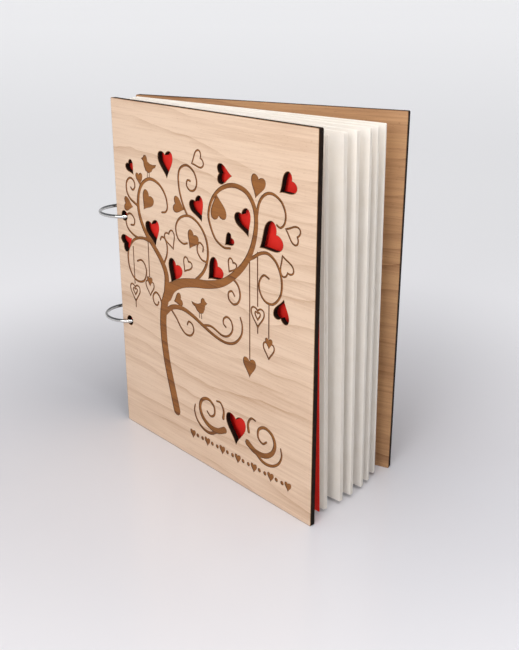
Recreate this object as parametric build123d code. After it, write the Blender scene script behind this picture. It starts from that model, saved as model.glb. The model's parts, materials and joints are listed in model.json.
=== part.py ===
"""Wooden ring-bound guest book, standing upright and opened in a narrow V.

Row frame, in millimetres: +Z is up and the covers stand on Z = 0. +X runs from the spine to
the fore-edge, halfway between the covers. The front cover is on the -Y side and the back cover
on the +Y side. The origin is the centre of the base of the book's box.

Every sheet turns about one upright line, the common centre of the two level binding rings. A
sheet is placed by its offset from that line, measured square to the sheet, and by its angle in
the fan; its punched holes then lie on the ring wire at every angle.
"""
import math
import os

from build123d import *

# Covers: laser-cut plywood
cover_width = 178.0
cover_height = 216.0
cover_thickness = 3.175
cover_corner_radius = 0.8
cover_hole_diameter = 6.35
v_angle = 19.88  # between the two covers

# Binding line, shared by covers, leaves and backing sheet
hole_spacing = 69.85  # standard two-hole punch
hole_setback = 8.5  # hole centre from a sheet's spine edge
hole_rise = 1.5  # centre of the pair above mid-height of the covers

# Leaves and the red backing sheet
leaf_inset = 6.5  # leaves are this much smaller than the covers, each way
leaf_thickness = 0.3
leaf_hole_diameter = 6.35
leaf_pitch = 0.45  # between neighbours in one bunch, across the closed book
leaves_per_bunch = 3
bunch_angles = [-8.6, -4.9, -2.2, 1.1, 3.4, 6.2]  # of each bunch in the fan
leaf_spread = 0.16  # between neighbours in one bunch
backing_thickness = 0.4
backing_gap = 0.6  # to the front cover, across the closed book
backing_spread = 0.35  # between the front cover and the backing sheet
block_gap = 0.9  # from the backing sheet and the back cover to the leaves

# Binding rings: hinged snap rings of round wire
ring_radius = 17.1  # to the middle of the wire
wire_diameter = 2.3
wire_lean = 33.95  # of the wire to the line square to a cover, at its hole
ring_seat = 0.1  # wire to the foot of a cover's hole
leaf_seat = 0.15  # wire to the top of a leaf's hole
knuckle_azimuth = 98.0  # of the ring's hinge, from +X
eye_radius = 2.1
lap_gap = 0.1  # between the two flat eyes of the knuckle
eye_clearance = 0.2  # eye to the other half's wire
rivet_diameter = 1.5
rivet_clearance = 0.05  # radial, in both eyes
rivet_head_diameter = 2.4
rivet_head_height = 0.35
snap_diameter = 1.1
snap_length = 1.4
snap_clearance = 0.12  # round the snap nib and at its end
snap_face_gap = 0.05  # between the end faces of the closed ring

# Heart-shaped openings cut through the front cover:
# distance from the spine edge, height, length from notch to tip, direction of the tip
cut_hearts = [
    (17.5, 176.0, 9.0, -52.0),
    (54.5, 183.5, 15.5, -84.0),
    (107.0, 184.3, 12.0, 0.0),
    (157.0, 186.0, 12.5, 218.0),
    (83.5, 162.0, 14.0, -62.0),
    (123.5, 161.5, 14.5, -64.0),
    (144.5, 156.0, 18.0, 216.0),
    (111.0, 148.8, 8.0, 222.0),
    (39.0, 140.0, 15.5, -76.0),
    (9.6, 127.6, 12.0, 28.0),
    (59.5, 119.5, 15.0, 246.0),
    (97.8, 128.5, 14.5, 226.0),
    (153.5, 118.5, 13.0, 78.0),
    (115.0, 36.5, 19.0, 270.0),
]

wire_radius = wire_diameter / 2
half_v = v_angle / 2
leaf_width = cover_width - leaf_inset
leaf_height = cover_height - leaf_inset
cover_offset = ring_radius * math.sin(math.radians(wire_lean))  # ring centre to mid-thickness
inner_face = cover_offset - cover_thickness / 2
outer_face = cover_offset + cover_thickness / 2


def hole_reach(offset):
    """Distance along a sheet from the ring centre's foot to its holes."""
    return math.sqrt(ring_radius**2 - offset**2)


# The level ring lies as low in the covers' holes as the slanting wire allows
wire_shift = hole_reach(cover_offset) - hole_reach(outer_face)
wire_reach = wire_radius * ring_radius / hole_reach(outer_face)
ring_drop = math.sqrt((cover_hole_diameter / 2 - ring_seat - wire_reach) ** 2 - wire_shift**2)
hole_mid_height = cover_height / 2 + hole_rise
ring_mid_height = hole_mid_height - ring_drop
ring_heights = [ring_mid_height + side * hole_spacing / 2 for side in (-1, 1)]
leaf_mid_height = ring_mid_height - (leaf_hole_diameter / 2 - wire_radius - leaf_seat)


def turned(x, y, angle):
    """A plan point turned about the ring centre."""
    a = math.radians(angle)
    return (x * math.cos(a) - y * math.sin(a), x * math.sin(a) + y * math.cos(a))


# The book's box, from the ring centre: rings behind, the covers' inner corners in front
fore_edge = hole_reach(cover_offset) - hole_setback + cover_width
box_front = turned(fore_edge, -inner_face, -half_v)[0]
box_back = -(ring_radius + wire_radius)
ring_centre_x = -(box_front + box_back) / 2


def place(shape, angle):
    """Turn a shape about the ring centre and put that centre where it stands."""
    return Pos(ring_centre_x, 0, 0) * Rot(0, 0, angle) * shape


def heart(length):
    """Flat heart with its tip towards +X, its notch towards -X and its middle at the origin."""
    notch = (-0.28 * length, 0)
    lobe_in = (-0.46 * length, 0.1 * length)
    lobe_out = (-0.5 * length, 0.44 * length)
    widest = (-0.22 * length, 0.46 * length)
    shoulder = (0.06 * length, 0.48 * length)
    flank = (0.24 * length, 0.15 * length)
    tip = (0.56 * length, 0)
    with BuildSketch() as outline:
        with BuildLine():
            Bezier(notch, lobe_in, lobe_out, widest)
            Bezier(widest, shoulder, flank, tip)
            mirror(about=Plane.XZ)
        make_face()
    return outline.sketch


def punched(body, thickness, hole_mid, hole_diameter):
    """Cut the two binding holes through an upright sheet whose spine edge is at X = 0."""
    for side in (-1, 1):
        drill = Rot(90, 0, 0) * Cylinder(hole_diameter / 2, 3 * thickness)
        body -= Pos(hole_setback, 0, hole_mid + side * hole_spacing / 2) * drill
    return body


def bound(body, offset, angle):
    """Hang a sheet on the rings at its offset and its angle in the fan."""
    spine_edge = hole_reach(offset) - hole_setback
    return place(Pos(spine_edge, offset, 0) * body, angle)


def cover():
    """Plain plywood board with its two binding holes."""
    board = Pos(cover_width / 2, 0, cover_height / 2) * Box(cover_width, cover_thickness, cover_height)
    board = fillet(board.edges().filter_by(Axis.Y), cover_corner_radius)
    return punched(board, cover_thickness, hole_mid_height, cover_hole_diameter)


def front_cover():
    """Board with the heart-shaped openings."""
    board = cover()
    for x, z, length, tip_direction in cut_hearts:
        cutter = extrude(heart(length), cover_thickness, both=True)
        board -= Pos(x, 0, z) * Rot(90, 0, 0) * Rot(0, 0, tip_direction) * cutter
    return bound(board, -cover_offset, -half_v)


def back_cover():
    """Uncut board."""
    return bound(cover(), cover_offset, half_v)


def leaf(thickness, offset, angle):
    """Card sheet hanging by its holes on the two rings."""
    card = Pos(leaf_width / 2, 0, leaf_mid_height) * Box(leaf_width, thickness, leaf_height)
    card = punched(card, thickness, leaf_mid_height, leaf_hole_diameter)
    return bound(card, offset, angle)


def wire(start, end):
    """Round wire along the ring's circle between two azimuths, at Z = 0."""
    ring = Torus(ring_radius, wire_radius, major_angle=end - start, align=None)
    return Rot(0, 0, start) * ring


def on_ring(azimuth, shape):
    """Put a shape on the ring's circle, its own +Y along the wire."""
    return Rot(0, 0, azimuth) * Pos(ring_radius, 0, 0) * shape


def eye(level):
    """Flat round eye of one ring half, over (+1) or under (-1) the other."""
    thickness = wire_radius - lap_gap / 2
    middle = level * (wire_radius + lap_gap / 2) / 2
    disc = Cylinder(eye_radius, thickness) - Cylinder(rivet_diameter / 2 + rivet_clearance, wire_diameter)
    return on_ring(knuckle_azimuth, Pos(0, 0, middle) * disc)


def eye_room(level):
    """Space that the other half's eye and the rivet turn in."""
    room = Cylinder(eye_radius + eye_clearance, wire_diameter)
    middle = -level * (wire_radius - lap_gap / 2)
    bore = Cylinder(rivet_diameter / 2 + rivet_clearance, 2 * wire_diameter)
    return on_ring(knuckle_azimuth, Pos(0, 0, middle) * room + bore)


def snap_rod(radius, length):
    """Round rod that starts at the clasp and runs along the wire into the inner half."""
    rod = Pos(0, length / 2, 0) * Rot(90, 0, 0) * Cylinder(radius, length)
    return on_ring(knuckle_azimuth - 180, rod)


def inner_half():
    """Ring half that passes through the block, with the snap socket in its end."""
    half = wire(knuckle_azimuth - 180, knuckle_azimuth) - eye_room(1) + eye(1)
    socket = snap_rod(snap_diameter / 2 + snap_clearance, snap_length + snap_clearance)
    return half - socket


def outer_half():
    """Ring half behind the spine, with the snap nib on its end."""
    end_gap = math.degrees(snap_face_gap / ring_radius)
    half = wire(knuckle_azimuth, knuckle_azimuth + 180 - end_gap) - eye_room(-1) + eye(-1)
    nib = snap_rod(snap_diameter / 2, snap_length)
    root = on_ring(knuckle_azimuth - 180, Rot(90, 0, 0) * Cylinder(snap_diameter / 2, 1.0))
    return half + nib + root


def rivet():
    """Rivet that hinges the two halves, with a head on each side."""
    pin = Cylinder(rivet_diameter / 2, wire_diameter + 2 * rivet_head_height)
    head = Cylinder(rivet_head_diameter / 2, rivet_head_height)
    lift = wire_radius + rivet_head_height / 2 + rivet_clearance
    return on_ring(knuckle_azimuth, pin + Pos(0, 0, lift) * head + Pos(0, 0, -lift) * head)


nodes = {"front_cover": front_cover(), "back_cover": back_cover()}

backing_offset = -(inner_face - backing_gap - backing_thickness / 2)
nodes["red_backing_sheet"] = leaf(backing_thickness, backing_offset, -half_v + backing_spread)

# Bunches stand evenly across the closed book, between the backing sheet and the back cover
bunch_depth = (leaves_per_bunch - 1) * leaf_pitch
first_bunch = backing_offset + block_gap
last_bunch = inner_face - block_gap - bunch_depth
bunch_step = (last_bunch - first_bunch) / (len(bunch_angles) - 1)
leaf_number = 0
for bunch, bunch_angle in enumerate(bunch_angles):
    for place_in_bunch in range(leaves_per_bunch):
        leaf_number += 1
        offset = first_bunch + bunch * bunch_step + place_in_bunch * leaf_pitch
        angle = bunch_angle + place_in_bunch * leaf_spread
        nodes[f"leaf_{leaf_number:02d}"] = leaf(leaf_thickness, offset, angle)

for ring_name, ring_height in zip(("lower", "upper"), ring_heights):
    seat = Pos(ring_centre_x, 0, ring_height)
    nodes[f"{ring_name}_ring_inner_half"] = seat * inner_half()
    nodes[f"{ring_name}_ring_outer_half"] = seat * outer_half()
    nodes[f"{ring_name}_ring_rivet"] = seat * rivet()

os.makedirs("parts", exist_ok=True)
for node_name, node_shape in nodes.items():
    export_step(node_shape, f"parts/{node_name}.step")
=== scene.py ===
import json
import math

import bpy
from mathutils import Matrix, Vector
from mathutils.geometry import delaunay_2d_cdt


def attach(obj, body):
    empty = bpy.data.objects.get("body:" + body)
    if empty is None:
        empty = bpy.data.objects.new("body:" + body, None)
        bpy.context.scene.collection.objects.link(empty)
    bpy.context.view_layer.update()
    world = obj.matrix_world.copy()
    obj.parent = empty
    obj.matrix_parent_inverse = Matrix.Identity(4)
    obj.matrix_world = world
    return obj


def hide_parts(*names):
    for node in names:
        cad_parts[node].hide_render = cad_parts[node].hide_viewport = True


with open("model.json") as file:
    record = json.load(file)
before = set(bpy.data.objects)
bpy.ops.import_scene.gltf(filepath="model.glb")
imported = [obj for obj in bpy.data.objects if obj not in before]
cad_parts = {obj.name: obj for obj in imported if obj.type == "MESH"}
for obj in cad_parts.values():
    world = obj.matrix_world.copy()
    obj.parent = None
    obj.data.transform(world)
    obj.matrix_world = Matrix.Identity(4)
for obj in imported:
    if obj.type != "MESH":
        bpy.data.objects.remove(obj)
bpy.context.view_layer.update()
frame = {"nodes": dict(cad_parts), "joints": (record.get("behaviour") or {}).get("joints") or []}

# ---- Front cover ---------------------------------------------------------------------------
# A 3 mm plywood board faced with pale maple veneer, standing on its lower edge. A laser cut its
# outline, its binding holes and the hearts right through, which charred the walls, and burned
# the tree a third of a millimetre into the veneer. It hangs on the two rings by its holes.
MM = 0.001
binding_line = Vector(next(j for j in frame["joints"] if j["name"] == "front_cover_turn")["pos_m"])
cover_width, cover_height, cover_thickness = 178.0, 216.0, 3.175
cover_corner = 0.8
cover_offset = 9.55  # from the binding line to the middle of the board's thickness
cover_angle = 9.94  # of each cover, away from the middle of the V
hole_setback = 8.5
hole_diameter = 6.35
hole_spacing = 69.85  # two-hole punch
cover_holes_middle = 109.5  # height of the middle of the pair
cover_hole_heights = (cover_holes_middle - hole_spacing / 2, cover_holes_middle + hole_spacing / 2)
ring_radius = 17.1
edge_round = 0.1  # worn off the cut edges
scorch_width = 0.28  # browned rim beside every cut
groove_depth = 0.35
groove_slope = 0.24  # width of the groove's sloping side
least_triangle = 1e-5  # square mm; a smaller triangle of a band is left out
band_taper = 0.8  # below 1, a branch thins sooner than evenly
FACE, SLOPE, FLOOR, RIM, WALL, INNER = range(6)  # material slots of a sheet

# Hearts cut through: distance from the spine edge, height, length, direction of the tip
cut_hearts = [
    (17.5, 176.0, 9.0, -52.0),
    (54.5, 183.5, 15.5, -84.0),
    (107.0, 184.3, 12.0, 0.0),
    (157.0, 186.0, 12.5, 218.0),
    (83.5, 162.0, 14.0, -62.0),
    (123.5, 161.5, 14.5, -64.0),
    (144.5, 156.0, 18.0, 216.0),
    (111.0, 148.8, 8.0, 222.0),
    (39.0, 140.0, 15.5, -76.0),
    (9.6, 127.6, 12.0, 28.0),
    (59.5, 119.5, 15.0, 246.0),
    (97.8, 128.5, 14.5, 226.0),
    (153.5, 118.5, 13.0, 78.0),
    (115.0, 36.5, 19.0, 270.0),
]

# Hearts burned in solid, and hearts drawn in outline, with the same four numbers
solid_hearts = [
    (26.8, 170.5, 8.0, -84.0),
    (34.2, 158.0, 13.0, 236.0),
    (13.2, 152.3, 10.0, -8.0),
    (65.4, 160.3, 11.0, -14.0),
    (101.8, 165.0, 15.0, 99.0),
    (134.6, 182.4, 12.5, 256.0),
    (78.0, 142.5, 11.5, 244.0),
    (62.5, 102.3, 9.0, 204.0),
    (127.5, 79.5, 12.0, 270.0),
    (33.2, 107.2, 6.5, 270.0),
    (143.5, 98.2, 6.5, 270.0),
]
outline_hearts = [
    (84.5, 189.0, 10.5, 206.0),
    (56.6, 138.6, 11.0, 296.0),
    (72.3, 126.2, 9.0, 240.0),
    (113.0, 134.8, 8.0, 240.0),
    (161.5, 162.0, 10.5, 163.0),
    (156.3, 143.8, 11.0, 116.0),
    (16.5, 96.0, 11.5, 270.0),
    (33.2, 103.0, 9.5, 270.0),
    (134.5, 111.0, 11.5, 270.0),
    (143.5, 94.0, 9.5, 270.0),
    (16.5, 96.6, 4.6, 270.0),
    (134.5, 111.6, 4.6, 270.0),
]

# Branches and curls, root to end: width at the root, width at the end, then the line
branches = [
    (7.2, 6.6, [(57, 27), (54.5, 36), (51, 48), (48, 60), (46, 75), (46.5, 90), (50.5, 102), (56, 109)]),
    (6.8, 1.3, [(52, 102), (57, 108.6), (66, 113.5), (78, 116.6), (92, 119.0), (104, 122.8), (114, 129),
                (123, 137.2), (129, 146), (132.5, 156), (133.3, 165), (131, 172.4), (125, 178),
                (115, 179.6), (104.5, 176.2), (97, 169.4), (93.5, 161), (94.5, 155), (99, 147.5),
                (106, 144), (112, 144.5)]),
    (5.2, 1.2, [(50.5, 104), (51.2, 115), (47, 123), (40, 130), (32, 137), (27, 144), (24.5, 152),
                (25.5, 161), (30, 168), (38, 171.8), (47, 170), (53, 164.5), (54.8, 158),
                (53, 154.5), (49, 153.5)]),
    (2.1, 1.25, [(36, 133), (26, 133.5), (17, 130), (11, 122.5), (10.5, 114), (14, 107), (20, 104.2),
                (27, 106), (30, 112), (28.5, 117), (25, 119), (20.5, 117.5)]),
    (2.4, 1.25, [(80, 118.5), (88, 126), (92, 135), (91, 145), (85, 152.5), (76, 156), (67, 153.5),
                (62.5, 147.5), (64, 141), (69, 138.5), (73, 139.5)]),
    (1.4, 1.25, [(91, 132), (86.5, 132.5), (82.8, 136), (82.6, 140), (85, 142.3), (88, 140.5),
                (87.6, 137.6)]),
    (1.8, 1.25, [(74, 156), (70, 162), (67, 170), (66.5, 178), (69, 182.8), (75, 184.8), (81, 182),
                (83.5, 176.5), (81.5, 172), (77, 171), (74, 173.5), (75, 176.5), (77.6, 176.4)]),
    (1.8, 1.25, [(24.6, 153), (16, 156.5), (12.5, 161), (13, 166.5), (17, 169.5), (21, 168),
                (21.7, 164.5), (19.3, 162.3), (17.2, 163.6)]),
    (1.7, 1.25, [(34, 134.5), (22, 133), (13, 136), (10, 141), (12, 145.8), (16, 146.8), (19.6, 144),
                (18.9, 140.5), (15.4, 139.8)]),
    (2.2, 1.25, [(133.4, 163), (135.5, 173), (140, 178.5), (146, 179.9), (152.5, 177), (155.8, 171.3),
                (155, 166), (152, 163.5), (149.4, 164.4)]),
    (2.2, 1.25, [(126, 141), (131, 143.5), (137, 147), (143, 147.9), (149.5, 144), (153.2, 136),
                (152.5, 127.5), (147, 121.3), (140.3, 121.3), (136.2, 126),
                (136, 131.5), (139.5, 135.6), (143.4, 134.6)]),
    (1.7, 1.25, [(112, 128.5), (118, 125), (120, 119.5), (118.3, 114.8), (114, 112.8), (110.2, 115),
                (110, 118.6), (113, 120.2), (115.2, 118)]),
    (1.7, 1.25, [(48.5, 121), (52.4, 128), (53, 134), (50.8, 138), (47.8, 138.4), (46.4, 136.4)]),
    (1.7, 1.25, [(46.6, 92), (43.5, 99), (39.4, 101.4), (36, 98), (37.2, 93.8), (40.4, 93.2), (41.8, 95.6)]),
    (3.7, 1.25, [(48, 90), (56, 96), (66, 97.8), (76, 96), (86, 92.5), (97, 89), (107, 87.8),
                (115, 90), (120.6, 96), (121.6, 102), (120, 106.4)]),
    (1.6, 1.25, [(86, 92.6), (94, 94), (104, 91.3), (110, 93), (113.2, 97.6), (112, 102.2), (108.4, 103.8),
                (105.3, 101.7), (105.1, 98.8), (107.2, 97.4)]),
    (1.6, 1.25, [(54, 95), (60, 90), (64, 85.4), (69, 82.2), (74.2, 82.8), (77, 86.5), (75.7, 90.2),
                (72.3, 91.2), (70.8, 88.8)]),
]

# Strings that the small hearts hang on
strings = [
    (0.95, 0.95, [(16.5, 126), (16.5, 102)]),
    (0.95, 0.95, [(16.5, 91), (16.5, 86)]),
    (0.95, 0.95, [(33.2, 133), (33.2, 110)]),
    (0.95, 0.95, [(128, 141), (128, 120), (127.8, 84)]),
    (0.95, 0.95, [(134.5, 147), (134.5, 117)]),
    (0.95, 0.95, [(134.5, 106), (134.5, 101.5)]),
    (0.95, 0.95, [(143.6, 121), (143.5, 101)]),
]


def smooth_line(points, reach=1.3):
    """A smooth line of (x, z) points, each about one reach from the last, through the given ones."""
    p = [Vector(q) for q in points]
    p = [2 * p[0] - p[1]] + p + [2 * p[-1] - p[-2]]
    line = []
    for a, b, c, d in zip(p, p[1:], p[2:], p[3:]):
        steps = max(2, round((c - b).length / reach))
        for k in range(steps):
            t = k / steps
            line.append(0.5 * (2 * b + (c - a) * t + (2 * a - 5 * b + 4 * c - d) * t * t
                               + (3 * b - a - 3 * c + d) * t ** 3))
    return line + [p[-2]]


def bezier(a, b, c, d, steps):
    """Points from a up to but not including d."""
    a, b, c, d = Vector(a), Vector(b), Vector(c), Vector(d)
    made = []
    for k in range(steps):
        t = k / steps
        made.append(a * (1 - t) ** 3 + 3 * b * t * (1 - t) ** 2 + 3 * c * t * t * (1 - t) + d * t ** 3)
    return made


def heart_line(x, z, length, tip_direction, steps=9):
    """Outline of a heart that lies in the board's face."""
    half = bezier((-0.28, 0), (-0.46, 0.1), (-0.5, 0.44), (-0.22, 0.46), steps)
    half += bezier((-0.22, 0.46), (0.06, 0.48), (0.24, 0.15), (0.56, 0), steps)
    line = half + [Vector((0.56, 0))] + [Vector((q.x, -q.y)) for q in reversed(half[1:])]
    turn = math.radians(tip_direction)
    c, s = math.cos(turn), math.sin(turn)
    return [Vector((x + length * (q.x * c - q.y * s), z + length * (q.x * s + q.y * c))) for q in line]


def round_line(x, z, radius, steps=40):
    """Outline of a round hole or dot."""
    turns = [2 * math.pi * k / steps for k in range(steps)]
    return [Vector((x + radius * math.cos(a), z + radius * math.sin(a))) for a in turns]


def board_line(width, height, corner, low=0.0, steps=4):
    """Outline of a sheet with rounded corners, its spine edge at x = 0 and its foot at low."""
    line = []
    for cx, cz, start in ((width - corner, low + corner, -90), (width - corner, low + height - corner, 0),
                          (corner, low + height - corner, 90), (corner, low + corner, 180)):
        for k in range(steps + 1):
            a = math.radians(start + 90 * k / steps)
            line.append(Vector((cx + corner * math.cos(a), cz + corner * math.sin(a))))
    return line


def area_of(line):
    return 0.5 * sum(a.x * b.y - b.x * a.y for a, b in zip(line, line[1:] + line[:1]))


def moved_out(line, distance):
    """The closed outline moved outwards, or inwards where distance is below 0."""
    if area_of(line) < 0:
        line = line[::-1]
    made = []
    for before, here, after in zip(line[-1:] + line[:-1], line, line[1:] + line[:1]):
        a, b = (here - before).normalized(), (after - here).normalized()
        normal = Vector((a.y + b.y, -a.x - b.x)).normalized()
        made.append(here + normal * distance / max(0.4, normal.dot(Vector((a.y, -a.x)))))
    return made


class Drawing:
    """Outlines on one flat sheet. Each has a kind; triangles() tells which kinds cover each triangle."""

    def __init__(self):
        self.points, self.faces, self.kinds = [], [], []

    def shape(self, kind, line):
        if area_of(line) < 0:
            line = line[::-1]
        start = len(self.points)
        self.points += line
        self.faces.append(list(range(start, start + len(line))))
        self.kinds.append(kind)

    def band(self, kind, line, widths, closed=False):
        """A line with a width at each of its points, and round ends."""
        count = len(line)
        start = len(self.points)
        for k in range(count):
            before = line[k - 1 if k or closed else 0]
            after = line[(k + 1) % count if closed else min(k + 1, count - 1)]
            along = (after - before).normalized()
            side = Vector((-along.y, along.x)) * widths[k] / 2
            self.points += [line[k] + side, line[k] - side]
        for k in range(count if closed else count - 1):
            a, b = start + 2 * k, start + 2 * ((k + 1) % count)
            for face in ([a, a + 1, b + 1], [a, b + 1, b]):
                area = area_of([self.points[i] for i in face])
                if abs(area) > least_triangle:
                    self.faces.append(face if area > 0 else face[::-1])
                    self.kinds.append(kind)
        if not closed:
            for k in (0, count - 1):
                self.shape(kind, round_line(*line[k], widths[k] / 2, 10))

    def burned_shape(self, line):
        self.shape("slope", line)
        self.shape("floor", moved_out(line, -groove_slope))

    def burned_band(self, line, root, end, closed=False):
        widths = [root + (end - root) * (k / (len(line) - 1)) ** band_taper for k in range(len(line))]
        self.band("slope", line, widths, closed)
        self.band("floor", line, [w - min(2 * groove_slope, 0.5 * w) for w in widths], closed)

    def through_cut(self, line):
        self.shape("cut", line)
        self.shape("scorch", moved_out(line, scorch_width))

    def triangles(self):
        """Points, triangles and the set of kinds over each triangle."""
        points, _, faces, _, _, owners = delaunay_2d_cdt(self.points, [], self.faces, 1, 1e-4, True)
        return points, faces, [{self.kinds[i] for i in own} for own in owners]


def placed(piece, offset, angle):
    """Stand a sheet on its place round the binding line. Its own x runs from its spine edge."""
    reach = math.sqrt(ring_radius ** 2 - offset ** 2) - hole_setback
    piece.matrix_world = (Matrix.Translation((binding_line.x, binding_line.y, 0))
                          @ Matrix.Rotation(math.radians(angle), 4, "Z")
                          @ Matrix.Translation((reach * MM, offset * MM, 0)))
    return piece


def sheet_piece(name, drawing, thickness, materials, outer=-1, groove=0.0, rounding=0.0,
                sway=None, smooth=False):
    """A solid sheet from a drawing, with a material for each slot from FACE to INNER.
    outer is the side with the drawing on it, -1 or 1. sway gives each point's bend across the sheet."""
    points, faces, kinds = drawing.triangles()
    solid = [(face, kind) for face, kind in zip(faces, kinds) if "cut" not in kind]
    uses = {}
    for face, _ in solid:
        for a, b in zip(face, face[1:] + face[:1]):
            uses[frozenset((a, b))] = uses.get(frozenset((a, b)), 0) + 1
    border = {i for edge, n in uses.items() if n == 1 for i in edge}
    sunk = {i for face, kind in solid if "floor" in kind for i in face}
    used = sorted({i for face, _ in solid for i in face})
    number = {i: k for k, i in enumerate(used)}
    verts = []
    for level in (-1, 1):
        for i in used:
            depth = rounding if i in border else groove if i in sunk and level == -1 else 0.0
            across = level * (thickness / 2 - depth)
            bend = sway(points[i].x, points[i].y) if sway else 0.0
            verts.append((points[i].x * MM, (bend - outer * across) * MM, points[i].y * MM))
    made, slots = [], []
    for face, kind in solid:
        top = [number[i] for i in face]
        under = [number[i] + len(used) for i in reversed(face)]
        rim = "scorch" in kind or "face" not in kind
        made += [top, under]
        slots.append(RIM if rim else FLOOR if "floor" in kind else SLOPE if "slope" in kind else FACE)
        slots.append(RIM if rim else INNER)
        for a, b in zip(face, face[1:] + face[:1]):
            if uses[frozenset((a, b))] == 1:
                p, q = number[a], number[b]
                made.append([q, p, p + len(used), q + len(used)])
                slots.append(WALL)
    if outer > 0:
        made = [face[::-1] for face in made]
    mesh = bpy.data.meshes.new(name)
    mesh.from_pydata(verts, [], made)
    for material in materials:
        mesh.materials.append(material)
    mesh.polygons.foreach_set("material_index", slots)
    if smooth:
        mesh.polygons.foreach_set("use_smooth", [True] * len(made))
        mesh.set_sharp_from_angle(angle=math.radians(40))
    mesh.validate()
    mesh.update()
    piece = bpy.data.objects.new(name, mesh)
    bpy.context.scene.collection.objects.link(piece)
    return piece


def colour(red, green, blue):
    """A finish's colour from its usual 0 to 255 numbers."""
    made = [((c / 255 + 0.055) / 1.055) ** 2.4 if c > 10 else c / 3294.6 for c in (red, green, blue)]
    return (*made, 1.0)


def put(tree, kind, inputs=None, **settings):
    """One shader node: its settings, and each input as a value or as another node's output."""
    made = tree.nodes.new("ShaderNode" + kind)
    for key, value in settings.items():
        setattr(made, key, value)
    for key, value in (inputs or {}).items():
        if isinstance(value, bpy.types.NodeSocket):
            tree.links.new(value, made.inputs[key])
        else:
            made.inputs[key].default_value = value
    return made


def maths(tree, operation, *values, clamp=False):
    return put(tree, "Math", dict(enumerate(values)), operation=operation, use_clamp=clamp).outputs[0]


def blended(tree, share, first, second, mode="MIX"):
    """Two colours mixed by a share."""
    return put(tree, "Mix", {0: share, 6: first, 7: second}, data_type="RGBA", blend_type=mode).outputs[2]


def stepped(tree, value, low, high, to_low=0.0, to_high=1.0):
    return put(tree, "MapRange", {"Value": value, "From Min": low, "From Max": high, "To Min": to_low,
                                  "To Max": to_high}, interpolation_type="SMOOTHSTEP").outputs["Result"]


def grains(tree, place, stretch, scale, detail=2.0, roughness=0.5):
    """Noise over places stretched along the board. Scale is in features per metre."""
    laid = put(tree, "VectorMath", {0: place, 1: stretch}, operation="MULTIPLY").outputs[0]
    return put(tree, "TexNoise", {"Vector": laid, "Scale": scale, "Detail": detail,
                                  "Roughness": roughness}).outputs["Fac"]


def effect(name, inputs, outputs):
    """An empty shader node group with its sockets, its input node and its output node."""
    tree = bpy.data.node_groups.new(name, "ShaderNodeTree")
    for direction, sockets in (("INPUT", inputs), ("OUTPUT", outputs)):
        for socket, kind in sockets:
            tree.interface.new_socket(name=socket, in_out=direction, socket_type="NodeSocket" + kind)
    return tree, tree.nodes.new("NodeGroupInput").outputs, tree.nodes.new("NodeGroupOutput").inputs


# Veneer figure: growth lines that run level across the board and wander, fibres and short pores
veneer_figure, given, result = effect(
    "veneer_figure", [("Place", "Vector"), ("Pale", "Color"), ("Brown", "Color"), ("Contrast", "Float")],
    [("Color", "Color"), ("Fibre", "Float"), ("Pores", "Float")])
tree = veneer_figure
wander = grains(tree, given["Place"], (4.5, 1.0, 13.0), 1.0, 1.0)
ripple = grains(tree, given["Place"], (28.0, 1.0, 70.0), 1.0, 2.0)
apart = put(tree, "SeparateXYZ", {0: given["Place"]}).outputs
level = maths(tree, "ADD", apart["Z"], maths(tree, "MULTIPLY", wander, 0.075))
level = maths(tree, "ADD", level, maths(tree, "MULTIPLY", ripple, 0.007))
growth = maths(tree, "FRACT", maths(tree, "MULTIPLY", level, 78.0))
line = maths(tree, "POWER", growth, 4.0)
faded = grains(tree, given["Place"], (9.0, 1.0, 45.0), 1.0, 1.0)
line = maths(tree, "MULTIPLY", line, stepped(tree, faded, 0.35, 0.62))
broad = grains(tree, given["Place"], (5.0, 1.0, 38.0), 1.0, 3.0)
fibre = grains(tree, given["Place"], (40.0, 300.0, 2400.0), 1.0, 3.0, 0.6)
streak = grains(tree, given["Place"], (14.0, 100.0, 520.0), 1.0, 3.0, 0.6)
speck = grains(tree, given["Place"], (420.0, 300.0, 3200.0), 1.0, 1.0)
pores = stepped(tree, speck, 0.66, 0.74)
share = maths(tree, "MULTIPLY", stepped(tree, broad, 0.3, 0.75), 0.38)
share = maths(tree, "ADD", share, maths(tree, "MULTIPLY", line, 0.62))
share = maths(tree, "ADD", share, maths(tree, "MULTIPLY", maths(tree, "SUBTRACT", streak, 0.5), 1.1))
share = maths(tree, "ADD", share, maths(tree, "MULTIPLY", maths(tree, "SUBTRACT", fibre, 0.5), 0.9))
share = maths(tree, "ADD", share, maths(tree, "MULTIPLY", pores, 0.35))
share = maths(tree, "MULTIPLY", share, given["Contrast"], clamp=True)
tree.links.new(blended(tree, share, given["Pale"], given["Brown"]), result["Color"])
tree.links.new(fibre, result["Fibre"])
tree.links.new(pores, result["Pores"])


def material(name):
    """A new material, its node tree, its shader and its own coordinates."""
    made = bpy.data.materials.new(name)
    made.use_nodes = True
    nodes = made.node_tree.nodes
    shader = next(n for n in nodes if n.type == "BSDF_PRINCIPLED")
    place = nodes.new("ShaderNodeTexCoord").outputs["Object"]
    return made, made.node_tree, shader, place


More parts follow.
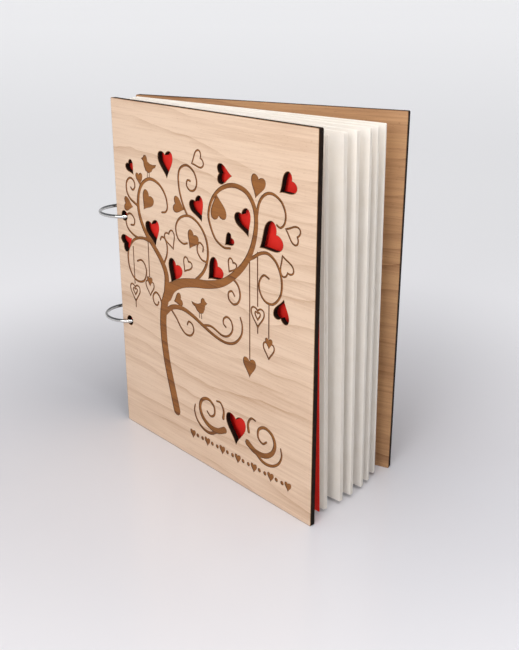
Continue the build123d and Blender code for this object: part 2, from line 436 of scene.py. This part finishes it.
def veneer(name, pale, brown, contrast):
    """Bare sanded veneer."""
    made, tree, shader, place = material(name)
    figure = put(tree, "Group", node_tree=veneer_figure)
    tree.links.new(place, figure.inputs["Place"])
    figure.inputs["Pale"].default_value = pale
    figure.inputs["Brown"].default_value = brown
    figure.inputs["Contrast"].default_value = contrast
    tree.links.new(figure.outputs["Color"], shader.inputs["Base Color"])
    rough = maths(tree, "ADD", maths(tree, "MULTIPLY", figure.outputs["Fibre"], 0.2), 0.40)
    tree.links.new(rough, shader.inputs["Roughness"])
    height = maths(tree, "SUBTRACT", figure.outputs["Fibre"], figure.outputs["Pores"])
    bump = put(tree, "Bump", {"Height": height, "Strength": 0.35, "Distance": 0.00006})
    tree.links.new(bump.outputs[0], shader.inputs["Normal"])
    return made


def burned(name, deep, light):
    """Veneer browned by the laser's close level passes. The grain takes the burn unevenly."""
    made, tree, shader, place = material(name)
    figure = put(tree, "Group", node_tree=veneer_figure)
    tree.links.new(place, figure.inputs["Place"])
    figure.inputs["Pale"].default_value = light
    figure.inputs["Brown"].default_value = deep
    figure.inputs["Contrast"].default_value = 1.15
    apart = put(tree, "SeparateXYZ", {0: place}).outputs
    passes = maths(tree, "SINE", maths(tree, "MULTIPLY", apart["Z"], 2 * math.pi / 0.00025))
    tone = maths(tree, "ADD", maths(tree, "MULTIPLY", passes, 0.07), 0.10)
    base = blended(tree, tone, figure.outputs["Color"], deep)
    tree.links.new(base, shader.inputs["Base Color"])
    shader.inputs["Roughness"].default_value = 0.72
    height = maths(tree, "ADD", figure.outputs["Fibre"], maths(tree, "MULTIPLY", passes, 0.25))
    bump = put(tree, "Bump", {"Height": height, "Strength": 0.6, "Distance": 0.00008})
    tree.links.new(bump.outputs[0], shader.inputs["Normal"])
    return made


def charred(name, soot, brown, ply):
    """Laser-cut wall of the board: soot over three plies, thinner where the beam left."""
    made, tree, shader, place = material(name)
    apart = put(tree, "SeparateXYZ", {0: place}).outputs
    plies = maths(tree, "SINE", maths(tree, "MULTIPLY", apart["Y"], 2 * math.pi / (ply * MM)))
    patch = grains(tree, place, (1.0, 1.0, 1.0), 260.0, 3.0)
    share = maths(tree, "ADD", maths(tree, "MULTIPLY", plies, 0.12), maths(tree, "MULTIPLY", patch, 0.75))
    share = stepped(tree, share, 0.32, 0.72)
    tree.links.new(blended(tree, share, soot, brown), shader.inputs["Base Color"])
    shader.inputs["Roughness"].default_value = 0.8
    shader.inputs["Specular IOR Level"].default_value = 0.15
    bump = put(tree, "Bump", {"Height": patch, "Strength": 0.5, "Distance": 0.0001})
    tree.links.new(bump.outputs[0], shader.inputs["Normal"])
    return made


front_veneer = veneer("front_veneer", colour(232, 203, 176), colour(190, 149, 115), 0.85)
burned_slope = burned("burned_slope", colour(62, 32, 10), colour(100, 56, 20))
burned_floor = burned("burned_floor", colour(98, 52, 14), colour(160, 100, 40))
scorched_rim = burned("scorched_rim", colour(96, 60, 34), colour(160, 116, 74))
charred_wall = charred("charred_wall", colour(22, 13, 8), colour(58, 36, 22), 1.06)

front = Drawing()
front.shape("board", board_line(cover_width, cover_height, cover_corner))
front.shape("face", moved_out(board_line(cover_width, cover_height, cover_corner), -scorch_width))
for z in cover_hole_heights:
    front.through_cut(round_line(hole_setback, z, hole_diameter / 2))
for heart in cut_hearts:
    front.through_cut(heart_line(*heart))
for heart in solid_hearts:
    front.burned_shape(heart_line(*heart))
outline_width = 1.1
for heart in outline_hearts:
    front.burned_band(heart_line(*heart), outline_width, outline_width, closed=True)
for root, end, line in branches + strings:
    front.burned_band(smooth_line(line), root, end)

# Two small birds, one facing each way: tail, body, head, beak and legs
bird = [(-8.0, 2.4), (-7.2, 0.6), (-4.6, -0.4), (-3.0, -2.4), (0.0, -3.6), (3.0, -2.6), (4.6, 0.2),
        (5.0, 2.6), (7.2, 4.4), (5.2, 5.4), (4.2, 6.8), (2.4, 6.9), (1.2, 5.6), (0.8, 3.4), (-1.6, 2.2),
        (-4.6, 1.9)]
leg_width = 0.6
for x, z, way in ((37, 178.6, -1), (83.5, 102.6, 1)):
    front.burned_shape([Vector((x + way * a, z + b)) for a, b in bird][::way])
    for leg in (-0.8, 1.2):
        hip, toe = Vector((x + way * leg, z - 3.0)), Vector((x + way * (leg + 0.3), z - 6.2))
        front.burned_band([hip, toe], leg_width, leg_width)

# Flourishes on both sides of the lowest heart, and a row of dots and small hearts under it
flourish_middle = 115.0
flourish = [
    (4.4, 1.3, [(104.5, 31.0), (98, 28.0), (90, 28.3), (83.6, 32.3), (81.2, 38.5), (83.8, 44.0), (89.8, 46.0),
                (94.9, 43.0), (95.2, 37.8), (91.4, 35.4), (88.2, 37.6)]),
    (2.6, 1.2, [(97, 27.2), (91, 23.8), (84, 24.2), (78.2, 28.0), (75.6, 33.5), (76.4, 38.0)]),
    (2.4, 1.2, [(103.5, 38.5), (104.0, 43.5), (101.2, 47.8), (97.6, 47.6)]),
]
for root, end, line in flourish:
    front.burned_band(smooth_line(line), root, end)
    front.burned_band(smooth_line([(2 * flourish_middle - x, z) for x, z in line]), root, end)
row_middle, row_step = 116.5, 4.8
for k in range(-9, 10):
    x = row_middle + row_step * k
    if k % 3 == 0:
        front.burned_shape(heart_line(x, 17.0, 6.0, 270.0, 6))
    else:
        front.burned_shape(round_line(x, 17.2, 1.35, 14))

front_cover = sheet_piece("front_cover_board", front, cover_thickness,
                          [front_veneer, burned_slope, burned_floor, scorched_rim, charred_wall,
                           front_veneer],
                          outer=-1, groove=groove_depth, rounding=edge_round)
placed(front_cover, -cover_offset, -cover_angle)
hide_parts("front_cover")
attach(front_cover, "front_cover")

# ---- Back cover ----------------------------------------------------------------------------
# The same board without the tree, cut by the same laser. Its outer veneer is pale maple. Its
# inner one, which shows behind the leaves, is a warmer tan whose colours are darkened to brown
# as painted shade, for the shade that the front cover and leaves cast on it inside the V. It
# hangs on the rings by its holes.
# Inner veneer: a warmer tan darkened with painted shade, much darker than the outer veneer.
back_veneer = veneer("back_veneer", colour(192, 148, 105), colour(126, 80, 47), 0.9)
back_outer_veneer = veneer("back_outer_veneer", colour(226, 193, 160), colour(180, 138, 102), 0.85)
back = Drawing()
back.shape("board", board_line(cover_width, cover_height, cover_corner))
back.shape("face", moved_out(board_line(cover_width, cover_height, cover_corner), -scorch_width))
for z in cover_hole_heights:
    back.through_cut(round_line(hole_setback, z, hole_diameter / 2))
back_cover = sheet_piece("back_cover_board", back, cover_thickness,
                         [back_outer_veneer] * 3 + [scorched_rim, charred_wall, back_veneer],
                         outer=1, rounding=edge_round)
placed(back_cover, cover_offset, cover_angle)
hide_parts("back_cover")
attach(back_cover, "back_cover")

# ---- Leaves and red backing sheet ----------------------------------------------------------
# Eighteen leaves of cream white card, in six bunches, and one card printed red on its front,
# behind the cover, that shows through its hearts. All are punched like the covers and hang on the
# rings. The fore-edge of each is bent back at its foot and forward at its head.
leaf_width, leaf_height = 171.5, 209.5
leaf_foot, leaf_mid = 1.89, 106.64  # heights of the lower edge and of the middle
leaf_corner = 0.5
leaf_thickness, red_thickness = 0.3, 0.4
red_offset, red_angle = -7.1624, -9.59  # as for a cover: mm from the binding line, place in the fan
leaves, leaves_in_bunch = 18, 3
first_bunch, bunch_step, leaf_pitch = -6.2624, 2.48496, 0.45  # offsets of the leaves
bunch_angles = (-8.6, -4.9, -2.2, 1.1, 3.4, 6.2)
leaf_spread = 0.16  # degrees between neighbours in one bunch
foot_drift = (6.7, 5.48, 4.26, 3.04, 1.82, 0.6)  # of each bunch's fore-edge, back at its foot
head_drift = (0.3, 1.45, 2.6, 3.75, 4.9, 6.0)  # and forward at its head
spine_lift = 3.6  # a leaf rides this much higher at its spine, as its fore-edge sags
grid_step = 9.0  # of the points that let a leaf bend
curl = 0.1


def card(name, shade, tint, fleck):
    """Smooth heavy card: faint mottle of the pulp, and a tooth that only shows close by."""
    made, tree, shader, place = material(name)
    mottle = grains(tree, place, (1.0, 1.0, 1.0), 90.0, 4.0, 0.6)
    pulp = grains(tree, place, (1.0, 1.0, 1.0), 2600.0, 2.0)
    share = maths(tree, "ADD", maths(tree, "MULTIPLY", mottle, 0.6), maths(tree, "MULTIPLY", pulp, 0.4))
    base = blended(tree, stepped(tree, share, 0.3, 0.7), shade, tint)
    tree.links.new(base, shader.inputs["Base Color"])
    rough = maths(tree, "ADD", maths(tree, "MULTIPLY", pulp, 0.15), 0.72)
    tree.links.new(rough, shader.inputs["Roughness"])
    bump = put(tree, "Bump", {"Height": pulp, "Strength": fleck, "Distance": 0.00005})
    tree.links.new(bump.outputs[0], shader.inputs["Normal"])
    return made


page_card = card("page_card", colour(250, 243, 233), colour(254, 249, 242), 0.25)
red_card = card("red_card", colour(244, 34, 22), colour(252, 46, 32), 0.3)

leaf = Drawing()
corners = board_line(leaf_width, leaf_height, leaf_corner, leaf_foot)
leaf.shape("face", [Vector((p.x, p.y + spine_lift * (1 - p.x / leaf_width))) for p in corners])
for z in (leaf_mid - hole_spacing / 2, leaf_mid + hole_spacing / 2):
    leaf.shape("cut", round_line(hole_setback, z, hole_diameter / 2, 32))
for i in range(1, int(leaf_width / grid_step)):
    for j in range(1, int(leaf_height / grid_step)):
        x, z = i * grid_step + 4, leaf_foot + j * grid_step + 3
        if 16 < x < leaf_width - 3 and z < leaf_foot + leaf_height - 2:
            leaf.points.append(Vector((x, z)))


def drift(foot, head):
    """Bend of a leaf: its fore-edge goes back at the foot and forward at the head, over a soft curl."""
    def bend(x, z):
        u, v = x / leaf_width, max(0.0, min(1.0, (z - leaf_foot) / leaf_height))
        return u * u * (foot * (1 - v) ** 1.5 - head * v ** 1.5) + curl * math.sin(math.pi * u) * u
    return bend


sheets = [("red_backing_sheet", red_offset, red_angle, red_thickness, drift(foot_drift[0] + 0.35, 0.1),
           red_card, "red_card")]
for number in range(1, leaves + 1):
    bunch, rank = divmod(number - 1, leaves_in_bunch)
    bend = drift(foot_drift[bunch] - 0.05 * rank, head_drift[bunch] + 0.04 * rank)
    sheets.append((f"leaf_{number:02d}", first_bunch + bunch * bunch_step + rank * leaf_pitch,
                   bunch_angles[bunch] + rank * leaf_spread, leaf_thickness, bend, page_card, "page_card"))
for name, offset, angle, thickness, bend, finish, slot in sheets:
    sheet = sheet_piece(name + "_card", leaf, thickness, [finish] * 5 + [page_card], sway=bend, smooth=True)
    placed(sheet, offset, angle)
    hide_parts(name)
    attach(sheet, name)

# ---- Binding rings -------------------------------------------------------------------------
# Two hinged snap rings of bright nickel-plated steel wire. Each has two half rings, riveted
# together at flat eyes and closed by a nib that snaps into the other half's end.
nickel, tree, shader, place = material("ring_wire")
drawn = grains(tree, place, (1.0, 1.0, 1.0), 500.0, 3.0)
base = blended(tree, stepped(tree, drawn, 0.3, 0.7), colour(196, 195, 193), colour(214, 213, 210))
tree.links.new(base, shader.inputs["Base Color"])
shader.inputs["Metallic"].default_value = 1.0
tree.links.new(maths(tree, "ADD", maths(tree, "MULTIPLY", drawn, 0.10), 0.10), shader.inputs["Roughness"])
bump = put(tree, "Bump", {"Height": drawn, "Strength": 0.1, "Distance": 0.00003})
tree.links.new(bump.outputs[0], shader.inputs["Normal"])
for height in ("lower", "upper"):
    for part in ("inner_half", "outer_half", "rivet"):
        node = frame["nodes"][f"{height}_ring_{part}"]
        for k in range(len(node.material_slots)):
            node.material_slots[k].material = nickel

# ---- Studio --------------------------------------------------------------------------------
# A pale glossy table that runs out of sight, with a faint glow away from the book that evens
# out the background, soft boxes over and in front of the book, and an even pale surround.
table_mesh = bpy.data.meshes.new("table")
reach = 40.0
table_corners = [(-reach, -reach, 0), (reach, -reach, 0), (reach, reach, 0), (-reach, reach, 0)]
table_mesh.from_pydata(table_corners, [], [[0, 1, 2, 3]])
table = bpy.data.objects.new("table", table_mesh)
bpy.context.scene.collection.objects.link(table)
table.location.z = -0.00005  # clear of the lower edges that stand on it
finish, tree, shader, place = material("table_top")
distance = put(tree, "VectorMath", {0: place}, operation="LENGTH").outputs["Value"]
away = stepped(tree, distance, 0.1, 1.0)
soft = grains(tree, place, (1.0, 1.0, 1.0), 1.4, 2.0)
near = blended(tree, stepped(tree, soft, 0.3, 0.7), colour(222, 221, 226), colour(227, 226, 230))
tree.links.new(blended(tree, away, near, colour(255, 255, 255)), shader.inputs["Base Color"])
shader.inputs["Roughness"].default_value = 0.2
shader.inputs["Emission Color"].default_value = (0.98, 0.98, 1.0, 1.0)
glow = maths(tree, "MULTIPLY", stepped(tree, distance, 0.08, 0.42), 0.36)
tree.links.new(glow, shader.inputs["Emission Strength"])
table_mesh.materials.append(finish)

world = bpy.data.worlds.new("surround")
bpy.context.scene.world = world
world.use_nodes = True
tree = world.node_tree
way = put(tree, "SeparateXYZ", {0: tree.nodes.new("ShaderNodeTexCoord").outputs["Generated"]}).outputs
high = blended(tree, stepped(tree, way["Z"], 0.05, 0.55), colour(226, 226, 229), colour(112, 113, 117))
sky = blended(tree, stepped(tree, way["Z"], 0.0, 0.12), colour(255, 255, 255), high)
tree.links.new(sky, tree.nodes["Background"].inputs[0])
tree.nodes["Background"].inputs[1].default_value = 0.9


def soft_box(name, at, aim, size, power, tint):
    lamp = bpy.data.lights.new(name, "AREA")
    lamp.shape, lamp.size, lamp.size_y = "RECTANGLE", size[0], size[1]
    lamp.energy, lamp.color = power, tint
    box = bpy.data.objects.new(name, lamp)
    bpy.context.scene.collection.objects.link(box)
    box.location = at
    box.rotation_mode = "QUATERNION"
    box.rotation_quaternion = (Vector(aim) - Vector(at)).to_track_quat("-Z", "Y")


soft_box("top_box", (0.16, -0.12, 0.64), (0.01, 0.0, 0.1), (0.4, 0.4), 2.8, (1.0, 0.99, 0.98))
soft_box("front_box", (0.25, -1.45, 0.72), (0.0, 0.0, 0.1), (0.8, 0.8), 9.1, (1.0, 0.98, 0.97))

camera_data = bpy.data.cameras.new("camera")
camera_data.lens = 49.17
camera_data.sensor_width = 36.0
camera_data.clip_start = 0.01
camera_data.clip_end = 120.0
camera = bpy.data.objects.new("camera", camera_data)
bpy.context.scene.collection.objects.link(camera)
heading, tilt, roll = (math.radians(a) for a in (128.503, 20.451, 0.048))
forward = Vector((math.cos(heading) * math.cos(tilt), math.sin(heading) * math.cos(tilt), -math.sin(tilt)))
camera.location = (0.3372, -0.3877, 0.2745)
camera.rotation_mode = "QUATERNION"
level_view = forward.to_track_quat("-Z", "Y").to_matrix()
camera.rotation_quaternion = (Matrix.Rotation(roll, 3, forward) @ level_view).to_quaternion()
bpy.context.scene.camera = camera
bpy.context.scene.view_settings.view_transform = "Standard"
